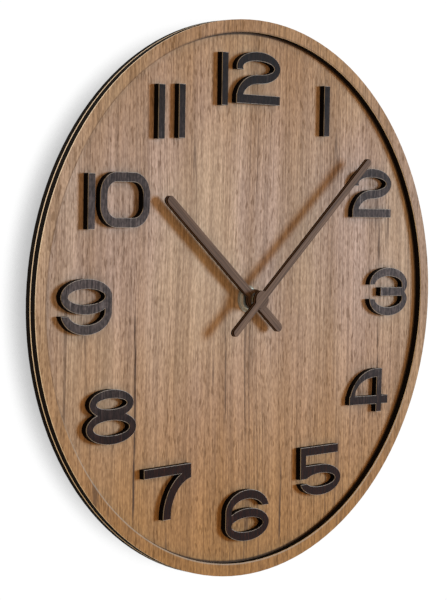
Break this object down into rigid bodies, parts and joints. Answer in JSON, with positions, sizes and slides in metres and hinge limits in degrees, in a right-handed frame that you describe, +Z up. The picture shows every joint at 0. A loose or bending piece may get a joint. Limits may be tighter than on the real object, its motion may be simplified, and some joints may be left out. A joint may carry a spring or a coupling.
{
  "type": "wall clock",
  "caption": "Round wall clock with a walnut-veneered face, raised rim, applied dark numerals, baton hands and a rear quartz movement on a keyhole hanger.",
  "frame": {"origin": "on the hands' axis, in the plane of the wall that the movement's rear cover rests on", "axes": "+Z up with the 12 at the top, +Y into the wall, so the dial faces -Y and +X is to the viewer's right"},
  "size_m": [0.3, 0.0331, 0.3],
  "materials": {
    "board_wood": "matte, edges burnt dark by cutting",
    "veneer_wood": "satin walnut veneer, grain upright",
    "numeral_wood": "matte charcoal stain",
    "hand_wood": "satin walnut",
    "bright_steel": "bright plated",
    "black_rubber": "matte",
    "hanger_steel": "zinc plated",
    "case_plastic": "fine spark texture",
    "knob_plastic": "satin",
    "wheel_plastic": "satin acetal",
    "arbor_brass": "turned",
    "magnet_grey": "matte bonded magnet",
    "core_steel": "plain",
    "copper_wire": "enamelled copper",
    "board_green": "satin",
    "resin_black": "gloss",
    "cell_sleeve": "satin sleeve"
  },
  "bodies": {
    "clock_body": {"base_board": "board_wood", "dial_veneer": "veneer_wood", "rim_board": "board_wood", "rim_veneer": "veneer_wood", "numeral_1": "numeral_wood", "numeral_2": "numeral_wood", "numeral_3": "numeral_wood", "numeral_4": "numeral_wood", "numeral_5": "numeral_wood", "numeral_6": "numeral_wood", "numeral_7": "numeral_wood", "numeral_8": "numeral_wood", "numeral_9": "numeral_wood", "numeral_10_tens": "numeral_wood", "numeral_10_units": "numeral_wood", "numeral_11_tens": "numeral_wood", "numeral_11_units": "numeral_wood", "numeral_12_tens": "numeral_wood", "numeral_12_units": "numeral_wood", "washer": "bright_steel", "bush_nut": "bright_steel", "rubber_gasket": "black_rubber", "hanger_plate": "hanger_steel", "movement_case": "case_plastic", "rear_cover": "case_plastic", "train_bridge": "wheel_plastic", "stator": "core_steel", "coil_core": "core_steel", "coil_bobbin": "wheel_plastic", "coil_winding": "copper_wire", "circuit_board": "board_green", "driver_chip": "resin_black", "quartz_crystal": "core_steel", "positive_contact": "core_steel", "negative_contact": "core_steel"},
    "minute_work": {"minute_hand": "hand_wood", "minute_hand_bush": "bright_steel", "minute_arbor": "arbor_brass"},
    "hour_work": {"hour_hand": "hand_wood", "hour_hand_bush": "bright_steel", "hour_wheel": "wheel_plastic"},
    "minute_wheel_work": {"minute_wheel": "wheel_plastic"},
    "setting_work": {"setting_wheel": "wheel_plastic", "setting_knob": "knob_plastic"},
    "seconds_work": {"seconds_wheel": "wheel_plastic"},
    "intermediate_work": {"intermediate_wheel": "wheel_plastic"},
    "rotor_work": {"rotor_pinion": "wheel_plastic", "rotor_magnet": "magnet_grey"},
    "third_work": {"third_wheel": "wheel_plastic"},
    "centre_work": {"centre_wheel": "wheel_plastic"},
    "battery": {"battery_cell": "cell_sleeve"}
  },
  "joints": [
    {"name": "minute_turn", "type": "hinge", "parent": "clock_body", "child": "minute_work", "pos_m": [0, 0, 0], "axis": [0, 1, 0], "continuous": true},
    {"name": "hour_turn", "type": "hinge", "parent": "clock_body", "child": "hour_work", "pos_m": [0, 0, 0], "axis": [0, 1, 0], "continuous": true},
    {"name": "minute_wheel_turn", "type": "hinge", "parent": "clock_body", "child": "minute_wheel_work", "pos_m": [0.00156, 0, -0.00886], "axis": [0, 1, 0], "continuous": true},
    {"name": "setting_turn", "type": "hinge", "parent": "clock_body", "child": "setting_work", "pos_m": [0.01053, 0, -0.00965], "axis": [0, 1, 0], "continuous": true},
    {"name": "seconds_turn", "type": "hinge", "parent": "clock_body", "child": "seconds_work", "pos_m": [0, 0, 0], "axis": [0, 1, 0], "continuous": true},
    {"name": "intermediate_turn", "type": "hinge", "parent": "clock_body", "child": "intermediate_work", "pos_m": [-0.0094, 0, 0.00342], "axis": [0, 1, 0], "continuous": true},
    {"name": "rotor_turn", "type": "hinge", "parent": "clock_body", "child": "rotor_work", "pos_m": [-0.01433, 0, 0], "axis": [0, 1, 0], "continuous": true},
    {"name": "third_turn", "type": "hinge", "parent": "clock_body", "child": "third_work", "pos_m": [0.00893, 0, 0.00325], "axis": [0, 1, 0], "continuous": true},
    {"name": "centre_turn", "type": "hinge", "parent": "clock_body", "child": "centre_work", "pos_m": [0, 0, 0], "axis": [0, 1, 0], "continuous": true},
    {"name": "battery_slide", "type": "slide", "parent": "clock_body", "child": "battery", "axis": [0, 1, 0], "range_m": [0, 0.025]}
  ],
  "couplings": [
    {"joint": "hour_turn", "follows": "minute_turn", "ratio": 0.083333},
    {"joint": "minute_wheel_turn", "follows": "minute_turn", "ratio": -0.33333},
    {"joint": "setting_turn", "follows": "minute_turn", "ratio": 1},
    {"joint": "intermediate_turn", "follows": "seconds_turn", "ratio": -6},
    {"joint": "rotor_turn", "follows": "seconds_turn", "ratio": 30},
    {"joint": "third_turn", "follows": "seconds_turn", "ratio": -0.1},
    {"joint": "centre_turn", "follows": "seconds_turn", "ratio": 0.016667}
  ]
}
